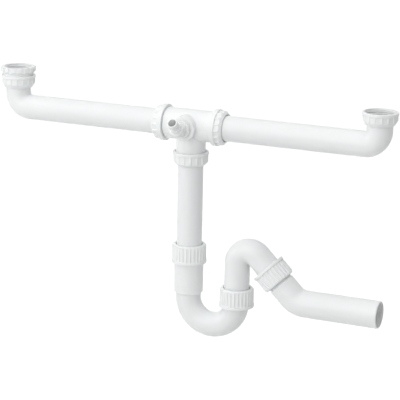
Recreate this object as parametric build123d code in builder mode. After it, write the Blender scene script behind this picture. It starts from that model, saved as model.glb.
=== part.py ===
# Double bowl sink trap, moulded plastic, in millimetres.
# Frame: origin at the centre of the left inlet's mouth, +Z up, +X along the arms, hose tail towards -Y.
# Every slip joint is a plane: its origin is the centre of the socket's mouth, its Z runs out of the socket.

from build123d import *
from math import cos, radians, sin
import os

os.makedirs("parts", exist_ok=True)

# Pipes
pipe_radius = 20.0          # outside, arms, drop pipe, bend and neck
pipe_wall = 2.0
outlet_radius = 21.5        # outside, waste outlet
outlet_wall = 2.3
end_chamfer = 0.8           # outside edge of every cut pipe end
edge_radius = 0.6           # moulded edges

# Slip joints
slip_clearance = 0.3        # pipe in socket, radial
socket_wall = 2.8
thread_height = 1.0
thread_clearance = 0.3      # nut on thread, radial
seat_depth = 5.0            # flared seat for the tapered ring
seat_flare = 1.6
seat_gap = 0.25             # tapered ring to seat, and ring to pipe
seal_nose = 2.2             # tapered ring inside the mouth
seal_collar = 4.0           # tapered ring outside the mouth
shoulder_gap = 0.3          # nut shoulder to tapered ring
nut_wall = 1.6
nut_end_wall = 4.5
nut_hole_clearance = 1.1    # nut round the pipe, radial
rim_length = 4.6            # lip at a nut's threaded end
rim_height = 0.8            # lip over the nut's ribs
run_rim_height = 1.4        # the same on the wider nuts at the tee's run
run_rim_length = 7.5

# Nut ribs
broad_rib_count = 16
broad_rib_radius = 2.4
broad_rib_height = 1.3
broad_chamfer = 4.6         # closed end of a nut with broad ribs
fine_rib_count = 28
fine_rib_radius = 1.6
fine_rib_height = 1.1
fine_chamfer = 2.4          # closed end of a nut with fine ribs

# Nut lengths
run_nut_length = 18.9
tail_nut_length = 21.0
trap_nut_length = 30.4
outlet_nut_length = 30.0

# Inlets
left_reach = 305.0          # inlet axis to the drop pipe's axis
right_reach = 304.2
elbow_throat = 2.0          # inside of the elbow's bend
inlet_rise = 41.8           # arm axis to the face of the inlet flange
flange_thickness = 3.5
flange_width = 2.9          # flange over the pipe
washer_thickness = 3.0
waste_thread_radius = 23.95 # the larger waste thread that the coupling nut screws on
coupling_wall = 1.8
coupling_end_wall = 6.4
coupling_depth = 13.2       # threaded depth over the nut's end wall
coupling_foot = 1.3         # flat ring under the nut, radial
coupling_slope = 8.6        # height of the cone over it
thread_relief = 0.4         # plain bore round the flange and washer, over the thread
coupling_rib_count = 16
coupling_rib_radius = 2.2
coupling_rib_height = 1.1
coupling_rim_length = 4.4
adapter_thread_radius = 21.0  # the smaller waste thread inside the left adapter
adapter_height = 19.9
adapter_flange_radius = 28.2
adapter_flange_height = 6.6
adapter_slope = 4.2         # cone under the castellated flange
notch_count = 16
notch_width = 4.6
notch_depth = 2.0

# Tee
run_mouth = 50.2            # tee centre to each run mouth
run_thickening = 1.4        # middle of the run over the socket
run_middle = 39.1           # tee centre to the end of the middle
run_stop = 20.0             # tee centre to the pipe stop
arm_gap = 6.2               # arm's end to the pipe stop, so that the joint can close
drop_mouth = 54.2           # tee centre to the lower mouth
drop_depth = 22.0           # drop pipe inside the lower mouth, up to its stop
branch_fillet = 1.5         # run to lower neck and to hose boss
boss_radius = 19.0
boss_face = 35.0            # tee centre to the hose boss's face

# Hose tail
hose_bore = 6.2
hose_barrel_radius = 10.5
hose_spigot_length = 14.0
hose_spigot_clearance = 0.3
hose_collar_radius = 13.6
hose_collar_length = 7.0
hose_barrel_length = 14.5   # boss face to the bend
hose_throat = 1.5           # inside of the bend
hose_turn = 40.0            # degrees
hose_step_radius = 9.2
hose_step_length = 9.0
hose_tip_radius = 8.0
hose_tip_length = 13.0
ring_section = 1.3          # rubber ring's section radius
ring_place = 6.0            # along the spigot, from the boss face
ring_squeeze = 0.15         # ring clear of its groove and of the boss

# Drop pipe and trap
drop_length = 146.1         # lower tee mouth to the trap's inlet mouth
trap_insert = 40.0          # drop pipe inside the trap's inlet
trap_socket_depth = 68.0
trap_socket_length = 72.2
trap_inlet_leg = 78.5       # inlet mouth to the bend's centre
trap_bend = 41.3            # centre line
trap_outlet_leg = 17.2      # bend's centre to the outlet mouth
trap_outlet_depth = 14.0

# Neck and outlet
neck_rise = 50.0            # trap's outlet mouth to the neck's bend centre
neck_throat = 0.4           # inside of the crown's bend
neck_insert = 12.0
neck_leg = 44.0             # end of the bend to the outlet mouth
neck_socket_length = 21.0
neck_socket_depth = 18.0
outlet_insert = 16.0
outlet_shoulder = 3.0       # nut to the wider outlet pipe
outlet_leg = 36.6           # outlet mouth to the elbow
outlet_bend = 32.0          # centre line
outlet_fall = 45.0          # degrees, neck's leg below level
outlet_run = 120.4

# Radii and depths that the pieces share
bore_radius = pipe_radius - pipe_wall
outlet_bore = outlet_radius - outlet_wall
socket_bore = pipe_radius + slip_clearance
socket_radius = socket_bore + socket_wall
thread_radius = socket_radius + thread_height
nut_bore = thread_radius + thread_clearance
nut_radius = nut_bore + nut_wall
nut_hole = pipe_radius + nut_hole_clearance
nut_shoulder = seal_collar + shoulder_gap
nut_end = nut_shoulder + nut_end_wall
flange_radius = pipe_radius + flange_width
coupling_radius = waste_thread_radius + coupling_wall
coupling_crest = coupling_radius + coupling_rib_height
coupling_rim = coupling_crest + rim_height
run_radius = socket_radius + run_thickening
arm_insert = run_mouth - run_stop - arm_gap
elbow_bend = pipe_radius + elbow_throat
neck_bend = pipe_radius + neck_throat
hose_bend = hose_barrel_radius + hose_throat

# Joint planes
arm_z = -(inlet_rise + washer_thickness + shoulder_gap + adapter_height)
tee_x = left_reach
right_x = left_reach + right_reach
flange_z = arm_z + inlet_rise
trap_inlet_z = arm_z - drop_mouth - drop_length
bend_z = trap_inlet_z - trap_inlet_leg
riser_x = tee_x + 2 * trap_bend
trap_outlet_z = bend_z + trap_outlet_leg
neck_z = trap_outlet_z + neck_rise
fall_x = cos(radians(outlet_fall))
fall_z = sin(radians(outlet_fall))
fall = Vector(fall_x, 0, -fall_z)
crown = Vector(fall_z, 0, fall_x)
neck_centre = Vector(riser_x + neck_bend, 0, neck_z)
neck_end = neck_centre + crown * neck_bend
elbow_start = neck_end + fall * (neck_leg + outlet_leg)
elbow_centre = elbow_start + crown * outlet_bend
elbow_end = elbow_centre - Vector(0, 0, outlet_bend)

left_inlet = Plane((0, 0, flange_z), x_dir=(1, 0, 0), z_dir=(0, 0, 1))
right_inlet = Plane((right_x, 0, flange_z), x_dir=(1, 0, 0), z_dir=(0, 0, 1))
tee_run = Plane((tee_x, 0, arm_z), x_dir=(0, 0, 1), z_dir=(1, 0, 0))
tee_port = Plane((tee_x, 0, arm_z), x_dir=(1, 0, 0), z_dir=(0, -1, 0))
left_run = Plane((tee_x - run_mouth, 0, arm_z), x_dir=(0, 0, 1), z_dir=(-1, 0, 0))
right_run = Plane((tee_x + run_mouth, 0, arm_z), x_dir=(0, 0, 1), z_dir=(1, 0, 0))
tail_joint = Plane((tee_x, 0, arm_z - drop_mouth), x_dir=(1, 0, 0), z_dir=(0, 0, -1))
trap_inlet = Plane((tee_x, 0, trap_inlet_z), x_dir=(1, 0, 0), z_dir=(0, 0, 1))
trap_outlet = Plane((riser_x, 0, trap_outlet_z), x_dir=(1, 0, 0), z_dir=(0, 0, 1))
outlet_joint = Plane(neck_end + fall * neck_leg, x_dir=crown, z_dir=fall)


def turned(joint, outline, rounded=0.0, mode=Mode.ADD):
    """Revolves an outline of (radius, station) points about a joint's axis, in the part being built."""
    profile = Plane(joint.origin, x_dir=joint.x_dir, z_dir=-joint.y_dir)
    with BuildSketch(profile) as section:
        with BuildLine():
            Polyline(*outline, close=True)
        make_face()
        if rounded:
            fillet(section.vertices(), rounded)
    revolve(section.sketch, axis=Axis(joint.origin, joint.z_dir), mode=mode)


def tube(plane, outer, inner, length):
    """Extrudes a ring along a plane's normal, in the part being built."""
    with BuildSketch(plane) as ring:
        Circle(outer)
        Circle(inner, mode=Mode.SUBTRACT)
    extrude(ring.sketch, amount=length)


def bend(plane, outer, inner, centre, turn_axis, angle):
    """Turns a ring about a bend's centre, in the part being built."""
    with BuildSketch(plane) as ring:
        Circle(outer)
        Circle(inner, mode=Mode.SUBTRACT)
    revolve(ring.sketch, axis=Axis(centre, turn_axis), revolution_arc=angle)


def socket(joint, depth, length, thread):
    """Adds a threaded slip socket with a flared seat, which steps down to the pipe at its far end."""
    outline = [
        (bore_radius, -length),
        (pipe_radius, -length),
        (socket_radius, -length + socket_wall),
        (socket_radius, -thread),
        (thread_radius, -thread + thread_height),
        (thread_radius, -thread_height),
        (thread_radius - thread_height / 2, 0),
        (socket_bore + seat_flare, 0),
        (socket_bore, -seat_depth),
        (socket_bore, -depth),
        (bore_radius, -depth),
    ]
    turned(joint, outline)


def save(piece, label):
    """Names a finished piece and writes it."""
    piece.part.label = label
    export_step(piece.part, f"parts/{label}.step")


def slip_nut(label, joint, length, rib_count, rib_size, rib_height, chamfer, lip_length, lip_height):
    """A slip nut: ribbed body, lip at the threaded end, sloping closed end with the pipe's hole."""
    start = nut_end - length
    rib_radius = nut_radius + rib_height
    with BuildPart() as nut:
        with BuildSketch(joint.offset(start)):
            Circle(nut_radius)
            with PolarLocations(rib_radius - rib_size, rib_count):
                Circle(rib_size)
        extrude(amount=length)
        envelope = [
            (0, start),
            (rib_radius + lip_height, start),
            (rib_radius + lip_height, nut_end - chamfer - lip_height),
            (rib_radius - chamfer, nut_end),
            (0, nut_end),
        ]
        turned(joint, envelope, rounded=edge_radius, mode=Mode.INTERSECT)
        lip = [
            (nut_bore, start),
            (rib_radius + lip_height, start),
            (rib_radius + lip_height, start + lip_length),
            (nut_bore, start + lip_length),
        ]
        turned(joint, lip, rounded=edge_radius)
        hollow = [
            (0, start),
            (nut_bore, start),
            (nut_bore, nut_shoulder),
            (nut_hole, nut_shoulder),
            (nut_hole, nut_end - edge_radius),
            (nut_hole + edge_radius, nut_end),
            (0, nut_end),
        ]
        turned(joint, hollow, mode=Mode.SUBTRACT)
    save(nut, label)


def tapered_ring(label, joint):
    """The rubber ring that a slip nut squeezes between the pipe and the socket's flared seat."""
    inside = pipe_radius + seat_gap
    flare = socket_bore + seat_flare - seat_gap
    nose = flare - seat_flare * seal_nose / seat_depth
    with BuildPart() as ring:
        outline = [
            (inside, -seal_nose),
            (nose, -seal_nose),
            (flare, 0),
            (flare, seat_gap),
            (thread_radius - seat_gap, seat_gap),
            (thread_radius - seat_gap, seal_collar),
            (inside, seal_collar),
        ]
        turned(joint, outline)
    save(ring, label)


def inlet_arm(label, inlet, heading, reach):
    """An arm: flanged inlet leg, tight elbow and long tube. Heading is 1 towards +X and -1 towards -X."""
    inlet_x = inlet.origin.X
    elbow_plane = Plane((inlet_x, 0, arm_z + elbow_bend), x_dir=(1, 0, 0), z_dir=(0, 0, 1))
    elbow_centre_point = (inlet_x + heading * elbow_bend, 0, arm_z + elbow_bend)
    run_plane = Plane((inlet_x + heading * elbow_bend, 0, arm_z), x_dir=(0, 0, 1), z_dir=(heading, 0, 0))
    run_length = reach - elbow_bend - run_mouth + arm_insert
    with BuildPart() as arm:
        tube(elbow_plane, pipe_radius, bore_radius, inlet_rise - elbow_bend)
        bend(elbow_plane, pipe_radius, bore_radius, elbow_centre_point, (0, -heading, 0), 90)
        tube(run_plane, pipe_radius, bore_radius, run_length)
        flange = [
            (bore_radius, -flange_thickness),
            (flange_radius, -flange_thickness),
            (flange_radius, 0),
            (bore_radius, 0),
        ]
        turned(inlet, flange)
        tube_end = arm.faces().sort_by(Axis.X)[-1 if heading > 0 else 0]
        chamfer(tube_end.outer_wire().edges(), end_chamfer)
    save(arm, label)


def inlet_washer(label, inlet):
    """The flat washer on the inlet flange."""
    with BuildPart() as washer:
        tube(inlet, flange_radius, bore_radius, washer_thickness)
    save(washer, label)


def coupling_nut(label, inlet):
    """The captive nut under the inlet flange, with a plain rim on top and ribs on its sloping underside."""
    shoulder = -flange_thickness - shoulder_gap
    base = shoulder - coupling_end_wall
    top = shoulder + coupling_depth
    thread_start = washer_thickness + shoulder_gap
    with BuildPart() as nut:
        with BuildSketch(inlet.offset(base)):
            Circle(coupling_radius)
            with PolarLocations(coupling_crest - coupling_rib_radius, coupling_rib_count):
                Circle(coupling_rib_radius)
        extrude(amount=top - base)
        envelope = [
            (0, base),
            (nut_hole + coupling_foot, base),
            (coupling_rim, base + coupling_slope),
            (coupling_rim, top),
            (0, top),
        ]
        turned(inlet, envelope, mode=Mode.INTERSECT)
        rim = [
            (waste_thread_radius, top - coupling_rim_length),
            (coupling_rim - edge_radius, top - coupling_rim_length),
            (coupling_rim, top - coupling_rim_length + edge_radius),
            (coupling_rim, top - edge_radius),
            (coupling_rim - edge_radius, top),
            (waste_thread_radius, top),
        ]
        turned(inlet, rim)
        hollow = [
            (0, base),
            (nut_hole, base),
            (nut_hole, shoulder),
            (waste_thread_radius + thread_relief, shoulder),
            (waste_thread_radius + thread_relief, thread_start),
            (waste_thread_radius, thread_start),
            (waste_thread_radius, top),
            (0, top),
        ]
        turned(inlet, hollow, mode=Mode.SUBTRACT)
    save(nut, label)


# Left inlet adapter: screws into the left coupling nut and takes a smaller waste thread
adapter_base = washer_thickness + shoulder_gap
adapter_top = adapter_base + adapter_height
adapter_male_radius = waste_thread_radius - thread_clearance
flange_base = adapter_top - adapter_flange_height
with BuildPart() as left_inlet_adapter:
    adapter_outline = [
        (adapter_thread_radius, adapter_base),
        (adapter_male_radius, adapter_base),
        (adapter_male_radius, flange_base - adapter_slope),
        (adapter_male_radius + edge_radius, flange_base - adapter_slope),
        (adapter_flange_radius, flange_base),
        (adapter_flange_radius, adapter_top - edge_radius),
        (adapter_flange_radius - edge_radius, adapter_top),
        (adapter_thread_radius, adapter_top),
    ]
    turned(left_inlet, adapter_outline)
    with BuildSketch(left_inlet.offset(adapter_top)):
        with PolarLocations(adapter_flange_radius, notch_count):
            Rectangle(2 * notch_depth, notch_width)
    extrude(amount=-adapter_flange_height - adapter_slope, mode=Mode.SUBTRACT)
save(left_inlet_adapter, "left_inlet_adapter")

inlet_washer("left_inlet_washer", left_inlet)
inlet_washer("right_inlet_washer", right_inlet)
coupling_nut("left_inlet_nut", left_inlet)
coupling_nut("right_inlet_nut", right_inlet)
inlet_arm("left_arm", left_inlet, 1, left_reach)
inlet_arm("right_arm", right_inlet, -1, right_reach)

# Tee body: two run sockets, a lower socket and the hose boss
run_thread = run_nut_length - nut_end - shoulder_gap
tail_thread = tail_nut_length - nut_end - shoulder_gap
half_run = [
    (run_radius, run_middle - edge_radius),
    (run_radius - edge_radius, run_middle),
    (socket_radius, run_middle),
    (socket_radius, run_mouth - run_thread),
    (thread_radius, run_mouth - run_thread + thread_height),
    (thread_radius, run_mouth - thread_height),
    (thread_radius - thread_height / 2, run_mouth),
    (0, run_mouth),
]
half_bore = [
    (bore_radius, run_stop),
    (socket_bore, run_stop),
    (socket_bore, run_mouth - seat_depth),
    (socket_bore + seat_flare, run_mouth),
    (0, run_mouth),
]
with BuildPart() as tee_body:
    turned(tee_run, half_run + [(radius, -station) for radius, station in reversed(half_run)])
    lower_outer = [
        (0, -drop_mouth),
        (socket_radius, -drop_mouth),
        (socket_radius, -tail_thread),
        (thread_radius, -tail_thread + thread_height),
        (thread_radius, -thread_height),
        (thread_radius - thread_height / 2, 0),
        (0, 0),
    ]
    turned(tail_joint, lower_outer)
    with BuildSketch(tee_port):
        Circle(boss_radius)
    extrude(amount=boss_face)
    middle = tee_body.faces().filter_by(GeomType.CYLINDER).sort_by(SortBy.AREA)[-1]
    branch_edges = [edge for wire in middle.inner_wires() for edge in wire.edges()]
    fillet(branch_edges, branch_fillet)
    fillet(tee_body.faces().sort_by(Axis.Y)[0].edges(), edge_radius)
    turned(tee_run, half_bore + [(radius, -station) for radius, station in reversed(half_bore)],
           mode=Mode.SUBTRACT)
    lower_hollow = [
        (0, -drop_mouth),
        (bore_radius, -drop_mouth),
        (bore_radius, -drop_depth),
        (socket_bore, -drop_depth),
        (socket_bore, -seat_depth),
        (socket_bore + seat_flare, 0),
        (0, 0),
    ]
    turned(tail_joint, lower_hollow, mode=Mode.SUBTRACT)
    with BuildSketch(tee_port):
        Circle(hose_barrel_radius)
    extrude(amount=boss_face, mode=Mode.SUBTRACT)
save(tee_body, "tee_body")

# Hose tail: spigot in the boss, collar on its face, bend up to a stepped tip
hose_origin = Vector(tee_x, -boss_face, arm_z)
hose_face = Plane(hose_origin, x_dir=(1, 0, 0), z_dir=(0, -1, 0))
hose_spigot_radius = hose_barrel_radius - hose_spigot_clearance
groove_radius = hose_barrel_radius - 2 * ring_section - ring_squeeze
bend_start = hose_face.offset(hose_barrel_length)
hose_centre = bend_start.origin + Vector(0, 0, hose_bend)
hose_out = Vector(0, -cos(radians(hose_turn)), sin(radians(hose_turn)))
hose_up = Vector(0, sin(radians(hose_turn)), cos(radians(hose_turn)))
hose_tip = Plane(hose_centre - hose_up * hose_bend, x_dir=(1, 0, 0), z_dir=hose_out)
hose_tip_end = hose_step_length + hose_tip_length
with BuildPart() as hose_tail:
    base_outline = [
        (hose_bore, -hose_spigot_length),
        (hose_spigot_radius, -hose_spigot_length),
        (hose_spigot_radius, -ring_place - ring_section),
        (groove_radius, -ring_place - ring_section),
        (groove_radius, -ring_place + ring_section),
        (hose_spigot_radius, -ring_place + ring_section),
        (hose_spigot_radius, shoulder_gap),
        (hose_collar_radius - edge_radius, shoulder_gap),
        (hose_collar_radius, shoulder_gap + edge_radius),
        (hose_collar_radius, hose_collar_length - edge_radius),
        (hose_collar_radius - edge_radius, hose_collar_length),
        (hose_barrel_radius, hose_collar_length),
        (hose_barrel_radius, hose_barrel_length),
        (hose_bore, hose_barrel_length),
    ]
    turned(hose_face, base_outline)
    bend(bend_start, hose_barrel_radius, hose_bore, hose_centre, (-1, 0, 0), hose_turn)
    tip_outline = [
        (hose_bore, 0),
        (hose_barrel_radius, 0),
        (hose_barrel_radius, edge_radius),
        (hose_step_radius, edge_radius + hose_barrel_radius - hose_step_radius),
        (hose_step_radius, hose_step_length),
        (hose_tip_radius, hose_step_length),
        (hose_tip_radius, hose_tip_end - edge_radius),
        (hose_tip_radius - edge_radius, hose_tip_end),
        (hose_bore, hose_tip_end),
    ]
    turned(hose_tip, tip_outline)
save(hose_tail, "hose_tail")

# Rubber ring in the spigot's groove
with BuildPart() as hose_ring:
    ring_centre = hose_face.offset(-ring_place)
    ring_middle = groove_radius + ring_section
    ring_profile = Plane(ring_centre.origin, x_dir=ring_centre.x_dir, z_dir=-ring_centre.y_dir)
    with BuildSketch(ring_profile):
        with Locations((ring_middle, 0)):
            Circle(ring_section - ring_squeeze)
    revolve(axis=Axis(ring_centre.origin, ring_centre.z_dir))
save(hose_ring, "hose_ring")

# Drop pipe from the tee's stop into the trap's long socket
tail_top = tail_joint.offset(-drop_depth + shoulder_gap)
with BuildPart() as tail_pipe:
    tube(tail_top, pipe_radius, bore_radius, drop_depth - shoulder_gap + drop_length + trap_insert)
    tail_ends = tail_pipe.faces().filter_by(GeomType.PLANE)
    chamfer([face.outer_wire().edges()[0] for face in tail_ends], end_chamfer)
save(tail_pipe, "tail_pipe")

# U-bend: long inlet socket, half turn, short outlet socket
with BuildPart() as u_bend:
    trap_thread = trap_nut_length - nut_end - shoulder_gap
    socket(trap_inlet, trap_socket_depth, trap_socket_length, trap_thread)
    inlet_end = trap_inlet.offset(-trap_inlet_leg)
    tube(inlet_end, pipe_radius, bore_radius, trap_inlet_leg - trap_socket_length)
    bend_centre = (tee_x + trap_bend, 0, bend_z)
    bend(inlet_end, pipe_radius, bore_radius, bend_centre, (0, -1, 0), 180)
    socket(trap_outlet, trap_outlet_depth, trap_outlet_leg, trap_outlet_depth)
save(u_bend, "u_bend")

# Swan neck: riser, crown over the weir, falling leg with a socket
with BuildPart() as swan_neck:
    riser_base = trap_outlet.offset(-neck_insert)
    tube(riser_base, pipe_radius, bore_radius, neck_insert + neck_rise)
    riser_end = swan_neck.faces().sort_by(Axis.Z)[0]
    chamfer(riser_end.outer_wire().edges(), end_chamfer)
    crown_start = trap_outlet.offset(neck_rise)
    bend(crown_start, pipe_radius, bore_radius, neck_centre, (0, 1, 0), 90 + outlet_fall)
    leg_start = Plane(neck_end, x_dir=crown, z_dir=fall)
    tube(leg_start, pipe_radius, bore_radius, neck_leg - neck_socket_length)
    outlet_thread = outlet_nut_length - nut_end - shoulder_gap
    socket(outlet_joint, neck_socket_depth, neck_socket_length, outlet_thread)
save(swan_neck, "swan_neck")

# Outlet elbow: spigot in the neck's socket, wider pipe, bend to level, plain end
with BuildPart() as outlet_elbow:
    shoulder = nut_end + outlet_shoulder
    spigot_outline = [
        (bore_radius, -outlet_insert),
        (pipe_radius - end_chamfer, -outlet_insert),
        (pipe_radius, end_chamfer - outlet_insert),
        (pipe_radius, shoulder),
        (outlet_radius - edge_radius, shoulder),
        (outlet_radius, shoulder + edge_radius),
        (outlet_radius, outlet_leg),
        (outlet_bore, outlet_leg),
        (outlet_bore, shoulder + outlet_wall),
        (bore_radius, shoulder),
    ]
    turned(outlet_joint, spigot_outline)
    turn_start = outlet_joint.offset(outlet_leg)
    bend(turn_start, outlet_radius, outlet_bore, elbow_centre, (0, -1, 0), outlet_fall)
    outlet_start = Plane(elbow_end, x_dir=(0, 0, 1), z_dir=(1, 0, 0))
    tube(outlet_start, outlet_radius, outlet_bore, outlet_run)
    outlet_end = outlet_elbow.faces().sort_by(Axis.X)[-1]
    chamfer(outlet_end.outer_wire().edges(), end_chamfer)
save(outlet_elbow, "outlet_elbow")

# Slip nuts and their tapered rings
slip_nut("left_arm_nut", left_run, run_nut_length, broad_rib_count, broad_rib_radius,
         broad_rib_height, broad_chamfer, run_rim_length, run_rim_height)
slip_nut("right_arm_nut", right_run, run_nut_length, broad_rib_count, broad_rib_radius,
         broad_rib_height, broad_chamfer, run_rim_length, run_rim_height)
slip_nut("tail_nut", tail_joint, tail_nut_length, broad_rib_count, broad_rib_radius,
         broad_rib_height, broad_chamfer, rim_length, rim_height)
slip_nut("trap_inlet_nut", trap_inlet, trap_nut_length, fine_rib_count, fine_rib_radius,
         fine_rib_height, fine_chamfer, rim_length, rim_height)
slip_nut("trap_outlet_nut", trap_outlet, trap_nut_length, fine_rib_count, fine_rib_radius,
         fine_rib_height, fine_chamfer, rim_length, rim_height)
slip_nut("outlet_nut", outlet_joint, outlet_nut_length, fine_rib_count, fine_rib_radius,
         fine_rib_height, fine_chamfer, rim_length, rim_height)
tapered_ring("left_arm_seal", left_run)
tapered_ring("right_arm_seal", right_run)
tapered_ring("tail_seal", tail_joint)
tapered_ring("trap_inlet_seal", trap_inlet)
tapered_ring("trap_outlet_seal", trap_outlet)
tapered_ring("outlet_seal", outlet_joint)
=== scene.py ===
import math

import bmesh
import bpy
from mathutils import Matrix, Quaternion, Vector


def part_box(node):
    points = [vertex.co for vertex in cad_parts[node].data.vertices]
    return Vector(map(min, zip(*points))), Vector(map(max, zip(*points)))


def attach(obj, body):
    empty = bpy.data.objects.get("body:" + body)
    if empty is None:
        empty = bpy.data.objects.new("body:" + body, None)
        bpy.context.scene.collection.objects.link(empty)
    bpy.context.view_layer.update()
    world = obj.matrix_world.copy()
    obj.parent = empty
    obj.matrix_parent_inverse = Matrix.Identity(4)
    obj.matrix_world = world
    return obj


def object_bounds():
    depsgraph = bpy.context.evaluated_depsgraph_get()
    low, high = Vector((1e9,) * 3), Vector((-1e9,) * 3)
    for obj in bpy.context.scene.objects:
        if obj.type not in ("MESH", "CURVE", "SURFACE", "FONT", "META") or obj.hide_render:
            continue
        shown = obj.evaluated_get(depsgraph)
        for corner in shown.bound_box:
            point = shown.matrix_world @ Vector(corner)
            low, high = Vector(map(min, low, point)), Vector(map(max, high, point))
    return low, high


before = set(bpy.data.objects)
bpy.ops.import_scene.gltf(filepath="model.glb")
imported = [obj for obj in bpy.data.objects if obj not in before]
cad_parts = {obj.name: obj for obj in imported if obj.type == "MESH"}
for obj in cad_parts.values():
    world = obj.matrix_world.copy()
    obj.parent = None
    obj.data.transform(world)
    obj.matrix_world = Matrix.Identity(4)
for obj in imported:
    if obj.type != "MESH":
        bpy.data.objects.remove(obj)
cad_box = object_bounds()

# Moulded fittings: the inlet arms, the tee, the hose tail, the U-bend, the swan neck and the outlet elbow.
# Each is injection moulded in white polypropylene, in a steel mould that parts along the pipes' middle plane,
# so a hairline of flash runs round it there and the skin keeps the mould's fine spark-eroded grain.
MM = 0.001


def linear(code):
    """Turns an sRGB hex colour into linear red, green, blue and alpha."""
    channels = [int(code[i:i + 2], 16) / 255 for i in (1, 3, 5)]
    return [c / 12.92 if c <= 0.04045 else ((c + 0.055) / 1.055) ** 2.4 for c in channels] + [1.0]


def add(tree, kind, settings=None, **inputs):
    """Adds a node. An input is a value or another node's socket, named as it is, or by _ and its number."""
    made = tree.nodes.new("ShaderNode" + kind)
    for key, value in (settings or {}).items():
        setattr(made, key, value)
    for key, value in inputs.items():
        socket = made.inputs[int(key[1:])] if key[0] == "_" else made.inputs[key.replace("_", " ")]
        if isinstance(value, bpy.types.NodeSocket):
            tree.links.new(value, socket)
        else:
            socket.default_value = value
    return made


def new_material(name, ior):
    """Makes a node material and returns it with its tree, its shader and the piece's own coordinates."""
    material = bpy.data.materials.new(name)
    material.use_nodes = True
    tree = material.node_tree
    shader = tree.nodes["Principled BSDF"]
    shader.inputs["IOR"].default_value = ior
    return material, tree, shader, add(tree, "TexCoord").outputs["Object"]


def milky(shader, share):
    """Lets a share of the light bleed under the skin, so that thin walls glow a little inside."""
    bleed_mm = 4.0
    shader.inputs["Subsurface Weight"].default_value = share
    shader.inputs["Subsurface Radius"].default_value = (1.0, 0.95, 0.9)
    shader.inputs["Subsurface Scale"].default_value = bleed_mm * MM


def dress(material, *names):
    """Gives CAD nodes a material."""
    for name in names:
        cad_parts[name].data.materials.clear()
        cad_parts[name].data.materials.append(material)


polypropylene_ior = 1.49
fitting_milkiness = 0.45


# Moulded polypropylene: a milky white with a soft satin gloss, slow cloudy changes of gloss where the melt
# cooled, a fine grain, and the hairline at the mould's parting. The real grain is too fine to show here,
# so it is drawn coarser.
def moulded_polypropylene(name, low, high, roughness, grain_mm, milkiness, parted):
    material, tree, shader, place = new_material(name, polypropylene_ior)
    cloud_mm = 38.0
    flash_mm = 0.22
    flash_rise = 4.0
    grain_depth_mm = 0.05
    smoothest = roughness - 0.05
    dullest = roughness + 0.06
    cloud = add(tree, "TexNoise", Vector=place, Scale=1 / (cloud_mm * MM), Detail=3.0, Roughness=0.55)
    colour = add(tree, "Mix", {"data_type": "RGBA"}, _0=cloud.outputs["Fac"], _6=linear(low), _7=linear(high))
    tree.links.new(colour.outputs[2], shader.inputs["Base Color"])
    gloss = add(tree, "MapRange", Value=cloud.outputs["Fac"], To_Min=smoothest, To_Max=dullest)
    tree.links.new(gloss.outputs["Result"], shader.inputs["Roughness"])
    grain = add(tree, "TexNoise", Vector=place, Scale=1 / (grain_mm * MM), Detail=2.0)
    height = grain.outputs["Fac"]
    if parted:
        axes = add(tree, "SeparateXYZ", Vector=place)
        off_plane = add(tree, "Math", {"operation": "ABSOLUTE"}, _0=axes.outputs["Y"])
        flash = add(tree, "MapRange", Value=off_plane.outputs[0], From_Max=flash_mm * MM,
                    To_Min=flash_rise, To_Max=0.0)
        height = add(tree, "Math", {"operation": "ADD"}, _0=height, _1=flash.outputs["Result"]).outputs[0]
    relief = add(tree, "Bump", Strength=0.10, Distance=grain_depth_mm * MM, Height=height)
    tree.links.new(relief.outputs["Normal"], shader.inputs["Normal"])
    milky(shader, milkiness)
    return material


fitting_plastic = moulded_polypropylene("moulded_polypropylene", "#eef0f0", "#f4f5f5", roughness=0.33,
                                        grain_mm=0.7, milkiness=fitting_milkiness, parted=True)
dress(fitting_plastic, "left_arm", "right_arm", "tee_body", "hose_tail", "u_bend", "swan_neck",
      "outlet_elbow")

# Gate marks: the round scars on the backs of the fittings, where the plastic ran into the mould.
# Each is a shallow raised ring with the stub of the broken-off sprue in its middle.
# Its outline is given as radius and rise over the skin, in millimetres.
gate_profile = [(2.9, -0.8), (2.9, 0.05), (2.6, 0.22), (1.9, 0.22), (1.6, 0.08), (1.2, 0.1), (1.0, 0.5),
                (0.4, 0.58)]
gate_steps = 40


def add_piece(name, mesh, material, body):
    """Makes an object of a finished mesh and lets it ride on a body."""
    data = bpy.data.meshes.new(name)
    bmesh.ops.recalc_face_normals(mesh, faces=mesh.faces)
    mesh.to_mesh(data)
    mesh.free()
    data.materials.append(material)
    piece = bpy.data.objects.new(name, data)
    bpy.context.scene.collection.objects.link(piece)
    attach(piece, body)


def gate_mark(name, body, x, y, z):
    """Turns the scar's profile about a line along +Y, on the skin at a point of a fitting's back."""
    mesh = bmesh.new()
    angles = [2 * math.pi * step / gate_steps for step in range(gate_steps)]
    rings = []
    for radius, rise in gate_profile:
        reach = radius * MM
        spots = [(x + reach * math.cos(a), y + rise * MM, z + reach * math.sin(a)) for a in angles]
        rings.append([mesh.verts.new(spot) for spot in spots])
    for lower, upper in zip(rings, rings[1:]):
        for i in range(gate_steps):
            j = (i + 1) % gate_steps
            mesh.faces.new((lower[i], lower[j], upper[j], upper[i]))
    mesh.faces.new(rings[0])
    mesh.faces.new(rings[-1])
    add_piece(name, mesh, fitting_plastic, body)


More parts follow.
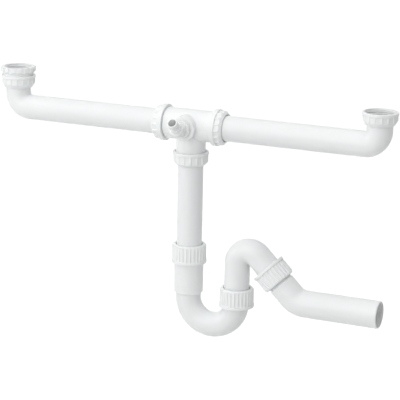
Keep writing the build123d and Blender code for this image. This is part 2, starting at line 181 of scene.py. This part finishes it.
pipe_radius = 20.0 * MM
outlet_radius = 21.5 * MM
arm_low, arm_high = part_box("left_arm")
right_low, right_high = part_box("right_arm")
tee_low, tee_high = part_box("tee_body")
bend_low, bend_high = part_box("u_bend")
neck_low, neck_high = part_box("swan_neck")
outlet_low, outlet_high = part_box("outlet_elbow")
arm_axis = arm_low.z + pipe_radius
arm_inset = 62.0 * MM
riser_inset = 48.0 * MM
outlet_inset = 99.0 * MM
gate_mark("left_arm_gate", "left_arm", arm_low.x + arm_inset, pipe_radius, arm_axis)
gate_mark("right_arm_gate", "right_arm", right_high.x - arm_inset, pipe_radius, arm_axis)
gate_mark("tee_gate", "tee", (tee_low.x + tee_high.x) / 2, tee_high.y, arm_axis)
gate_mark("u_bend_gate", "u_bend", (bend_low.x + bend_high.x) / 2, pipe_radius, bend_low.z + pipe_radius)
gate_mark("swan_neck_gate", "swan_neck", neck_low.x + pipe_radius, pipe_radius, neck_low.z + riser_inset)
gate_mark("outlet_elbow_gate", "outlet_elbow", outlet_high.x - outlet_inset, outlet_radius,
          outlet_low.z + outlet_radius)

# Drop pipe: a cut length of white polypropylene tube between the tee and the trap.
# It is extruded, so fine draw lines from the die run along it and it has no parting line.
# Extruded polypropylene: as white as the fittings and a touch glossier, streaked along its length.
# The real draw lines are finer, and these are as coarse as they need to be to show.
pipe_plastic, tree, shader, place = new_material("extruded_polypropylene", polypropylene_ior)
line_mm = 1.4
line_length_mm = 160.0
line_depth_mm = 0.04
line_scale = (1 / (line_mm * MM), 1 / (line_mm * MM), 1 / (line_length_mm * MM))
stretched = add(tree, "Mapping", Vector=place, Scale=line_scale)
lines = add(tree, "TexNoise", Vector=stretched.outputs["Vector"], Scale=1.0, Detail=2.0).outputs["Fac"]
colour = add(tree, "Mix", {"data_type": "RGBA"}, _0=lines, _6=linear("#eff1f1"), _7=linear("#f3f5f5"))
tree.links.new(colour.outputs[2], shader.inputs["Base Color"])
gloss = add(tree, "MapRange", Value=lines, To_Min=0.26, To_Max=0.38)
tree.links.new(gloss.outputs["Result"], shader.inputs["Roughness"])
relief = add(tree, "Bump", Strength=0.12, Distance=line_depth_mm * MM, Height=lines)
tree.links.new(relief.outputs["Normal"], shader.inputs["Normal"])
milky(shader, fitting_milkiness)
dress(pipe_plastic, "tail_pipe")

# Nuts and the left inlet's adapter: hand-tightened rings of the same polypropylene, moulded with grip ribs.
# They come off an unscrewing core, so they have no parting line, and handling has dulled their skin a touch.
nut_milkiness = 0.12
nut_plastic = moulded_polypropylene("moulded_polypropylene_nut", "#ecefef", "#f3f4f4", roughness=0.38,
                                    grain_mm=0.6, milkiness=nut_milkiness, parted=False)
dress(nut_plastic, "left_inlet_adapter", "left_inlet_nut", "right_inlet_nut", "left_arm_nut", "right_arm_nut",
      "tail_nut", "trap_inlet_nut", "trap_outlet_nut", "outlet_nut")

# Inlet threads: the pipe threads that the sink wastes screw into, inside the adapter and the right nut.
# Both have the same pitch, with rounded crests, and each turn runs out into the wall at its ends.
thread_pitch = 2.309 * MM
thread_height = 1.1 * MM
thread_root = 0.05 * MM
root_share = 0.46
crest_share = 0.12
turn_steps = 96
run_out_steps = turn_steps / 4


def inlet_thread(name, body, centre, radius, low, high):
    """A helical ridge inside a wall, closed along its root and at its ends."""
    mesh = bmesh.new()
    turns = (high - low) / thread_pitch - 1.0
    count = int(turns * turn_steps)
    rows = []
    for step in range(count + 1):
        angle = 2 * math.pi * step / turn_steps
        fade = min(1.0, step / run_out_steps, (count - step) / run_out_steps)
        crest = radius - thread_height * fade
        middle = low + thread_pitch * (0.5 + step / turn_steps)
        section = [
            (radius + thread_root, middle - root_share * thread_pitch),
            (crest, middle - crest_share * thread_pitch),
            (crest, middle + crest_share * thread_pitch),
            (radius + thread_root, middle + root_share * thread_pitch),
        ]
        spots = [(centre + r * math.cos(angle), r * math.sin(angle), z) for r, z in section]
        rows.append([mesh.verts.new(spot) for spot in spots])
    for here, there in zip(rows, rows[1:]):
        for i in range(len(here)):
            j = (i + 1) % len(here)
            mesh.faces.new((here[i], there[i], there[j], here[j])).smooth = j > 0
        for root in (0, -1):
            mesh.edges.get((here[root], there[root])).smooth = False
    mesh.faces.new(rows[0])
    mesh.faces.new(rows[-1])
    add_piece(name, mesh, nut_plastic, body)


adapter_low, adapter_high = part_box("left_inlet_adapter")
nut_low, nut_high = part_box("right_inlet_nut")
washer_low, washer_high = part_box("right_inlet_washer")
adapter_thread_radius = 21.0 * MM
right_thread_radius = 23.95 * MM
adapter_lead_in = 1.2 * MM
right_lead_in = 0.4 * MM
washer_gap = 0.3 * MM
inlet_thread("left_inlet_thread", "left_inlet", (adapter_low.x + adapter_high.x) / 2, adapter_thread_radius,
             adapter_low.z, adapter_high.z - adapter_lead_in)
inlet_thread("right_inlet_thread", "right_inlet_nut", (nut_low.x + nut_high.x) / 2, right_thread_radius,
             washer_high.z + washer_gap, nut_high.z - right_lead_in)

# Inlet washers: the flat rings that the sink wastes press on, stamped from soft polyethylene sheet.
# They lie loose on the arms' flanges, and the coupling nuts pull them tight.
# Polyethylene sheet: pale, waxy and matt, with faint wavy streaks from its rolling.
washer_plastic, tree, shader, place = new_material("rolled_polyethylene", ior=1.51)
streak_mm = 5.0
streak_depth_mm = 0.05
streaks = add(tree, "TexWave", Vector=place, Scale=1 / (streak_mm * MM) / math.tau, Distortion=6.0,
              Detail=2.0).outputs["Fac"]
colour = add(tree, "Mix", {"data_type": "RGBA"}, _0=streaks, _6=linear("#e3e4e2"), _7=linear("#ebecea"))
tree.links.new(colour.outputs[2], shader.inputs["Base Color"])
relief = add(tree, "Bump", Strength=0.1, Distance=streak_depth_mm * MM, Height=streaks)
tree.links.new(relief.outputs["Normal"], shader.inputs["Normal"])
shader.inputs["Roughness"].default_value = 0.55
dress(washer_plastic, "left_inlet_washer", "right_inlet_washer")

# Seals: the tapered rings in the slip joints and the ring round the hose tail's spigot.
# They are moulded in dark grey EPDM rubber, and show only as thin dark lines inside the nuts.
# EPDM rubber: near black, matt, with a faint bloom and a moulded skin that is drawn coarser than it is.
seal_rubber, tree, shader, place = new_material("epdm_rubber", ior=1.5)
bloom_mm = 6.0
skin_mm = 0.5
skin_depth_mm = 0.1
bloom = add(tree, "TexNoise", Vector=place, Scale=1 / (bloom_mm * MM), Detail=4.0).outputs["Fac"]
skin = add(tree, "TexNoise", Vector=place, Scale=1 / (skin_mm * MM), Detail=2.0).outputs["Fac"]
colour = add(tree, "Mix", {"data_type": "RGBA"}, _0=bloom, _6=linear("#2b2c2e"), _7=linear("#3a3b3d"))
tree.links.new(colour.outputs[2], shader.inputs["Base Color"])
relief = add(tree, "Bump", Strength=0.3, Distance=skin_depth_mm * MM, Height=skin)
tree.links.new(relief.outputs["Normal"], shader.inputs["Normal"])
shader.inputs["Roughness"].default_value = 0.72
dress(seal_rubber, "left_arm_seal", "right_arm_seal", "tail_seal", "trap_inlet_seal", "trap_outlet_seal",
      "outlet_seal", "hose_ring")

# Stage: a pale floor well under the hanging trap, a white surround and soft studio lamps.
# The surround and the floor are white to the camera and to reflections, and light the trap at a plain level.
floor_drop = 0.55
floor_half = 12.0
floor_z = cad_box[0][2] - floor_drop
floor_mesh = bpy.data.meshes.new("floor")
corners = [(-1, -1), (1, -1), (1, 1), (-1, 1)]
floor_mesh.from_pydata([(x * floor_half, y * floor_half, floor_z) for x, y in corners], [], [(0, 1, 2, 3)])
floor = bpy.data.objects.new("floor", floor_mesh)
bpy.context.scene.collection.objects.link(floor)


def seen_directly(tree):
    """One for rays from the camera, a reflection or a clear surface, and nought for other light."""
    path = add(tree, "LightPath").outputs
    shown = add(tree, "Math", {"operation": "MAXIMUM"}, _0=path["Is Camera Ray"], _1=path["Is Glossy Ray"])
    shown = add(tree, "Math", {"operation": "MAXIMUM"}, _0=shown.outputs[0], _1=path["Is Transmission Ray"])
    return shown.outputs[0]


# Floor paint: a pale matt emulsion.
floor_glow = 0.62
floor_paint, tree, shader, place = new_material("pale_floor_paint", ior=1.45)
shader.inputs["Base Color"].default_value = linear("#e6e6e6")
shader.inputs["Roughness"].default_value = 0.8
white_glow = add(tree, "Math", {"operation": "MULTIPLY"}, _0=seen_directly(tree), _1=floor_glow)
shader.inputs["Emission Color"].default_value = linear("#ffffff")
tree.links.new(white_glow.outputs[0], shader.inputs["Emission Strength"])
floor_mesh.materials.append(floor_paint)

fill_level = 0.5
world = bpy.data.worlds.new("white_surround")
bpy.context.scene.world = world
world.use_nodes = True
tree = world.node_tree
surround = tree.nodes["Background"]
surround.inputs["Color"].default_value = linear("#ffffff")
surround_level = add(tree, "MapRange", Value=seen_directly(tree), To_Min=fill_level, To_Max=1.0)
tree.links.new(surround_level.outputs["Result"], surround.inputs["Strength"])

# Camera: the photograph's angle, with the long lens that its parallel pipes show.
# It looks at a point between the arms and the trap, and is turned a little about its own line of sight.
target = Vector((321.96, 0.0, -184.07)) * MM
azimuth = math.radians(23.0)
elevation = math.radians(14.93)
roll = math.radians(1.10)
distance = 2.6914
sensor_mm = 36.0
focal_px = 1718.2
frame_px = 400.0
towards_camera = Vector((math.sin(azimuth) * math.cos(elevation), -math.cos(azimuth) * math.cos(elevation),
                         math.sin(elevation)))
camera_data = bpy.data.cameras.new("camera")
camera_data.sensor_width = sensor_mm
camera_data.lens = sensor_mm * focal_px / frame_px
camera_data.clip_end = 50.0
camera = bpy.data.objects.new("camera", camera_data)
camera.location = target + towards_camera * distance
camera.rotation_mode = "QUATERNION"
camera.rotation_quaternion = (-towards_camera).to_track_quat("-Z", "Y") @ Quaternion((0, 0, 1), roll)
bpy.context.scene.collection.objects.link(camera)
bpy.context.scene.camera = camera


def soft_lamp(name, place, size, power):
    """A square soft box aimed at the trap."""
    data = bpy.data.lights.new(name, "AREA")
    data.shape = "SQUARE"
    data.size = size
    data.energy = power
    lamp = bpy.data.objects.new(name, data)
    lamp.location = target + Vector(place)
    lamp.rotation_euler = (-Vector(place)).to_track_quat("-Z", "Y").to_euler()
    bpy.context.scene.collection.objects.link(lamp)


soft_lamp("left_lamp", (-1.5, -0.9, 0.45), size=0.5, power=4.7)
soft_lamp("front_top_lamp", (-0.3, -1.4, 2.0), size=1.6, power=11.1)
soft_lamp("front_lamp", (-0.3, -2.4, 0.8), size=1.5, power=16.2)
soft_lamp("top_lamp", (0.1, 0.2, 2.3), size=1.8, power=10.3)

bpy.context.scene.view_settings.view_transform = "Standard"
